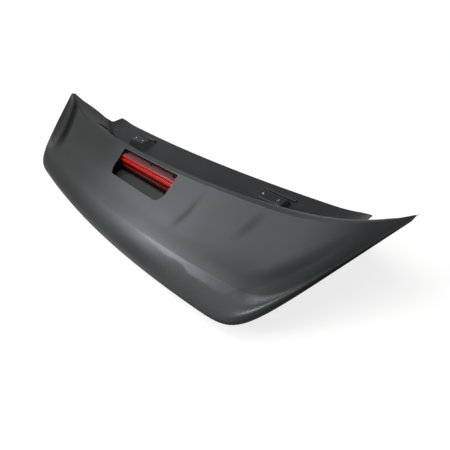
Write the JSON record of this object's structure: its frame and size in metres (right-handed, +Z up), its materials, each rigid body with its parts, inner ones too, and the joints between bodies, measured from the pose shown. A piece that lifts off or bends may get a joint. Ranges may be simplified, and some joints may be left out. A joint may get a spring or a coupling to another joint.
{
  "type": "car rear spoiler",
  "caption": "Hatchback roof spoiler with swept-up ears, a front mounting flange with threaded bosses and a red brake lamp in a window of its lower panel.",
  "frame": {"origin": "on the surface that the outer skin lies on, under the middle of the plan", "axes": "+X along the span, +Y from the rear edge to the front flange, +Z up, away from the outer skin"},
  "size_m": [1.144, 0.3169, 0.1452],
  "materials": {
    "shell_plastic": "satin moulded, fine grain",
    "insert_zinc": "turned and zinc plated",
    "lens_red": "clear red, polished",
    "seal_rubber": "matte",
    "housing_plastic": "fine grain",
    "board_laminate": "lacquered",
    "led_resin": "clear",
    "screw_steel": "zinc plated",
    "connector_plastic": "fine grain",
    "pin_metal": "tin plated"
  },
  "bodies": {
    "root": {"outer_skin": "shell_plastic", "lower_panel": "shell_plastic", "threaded_inserts": "insert_zinc", "lamp_lens": "lens_red", "lens_seal": "seal_rubber", "lamp_housing": "housing_plastic", "led_board": "board_laminate", "leds": "led_resin", "board_screws": "screw_steel", "lamp_connector": "connector_plastic", "connector_pins": "pin_metal", "lamp_screws": "screw_steel"}
  },
  "joints": []
}
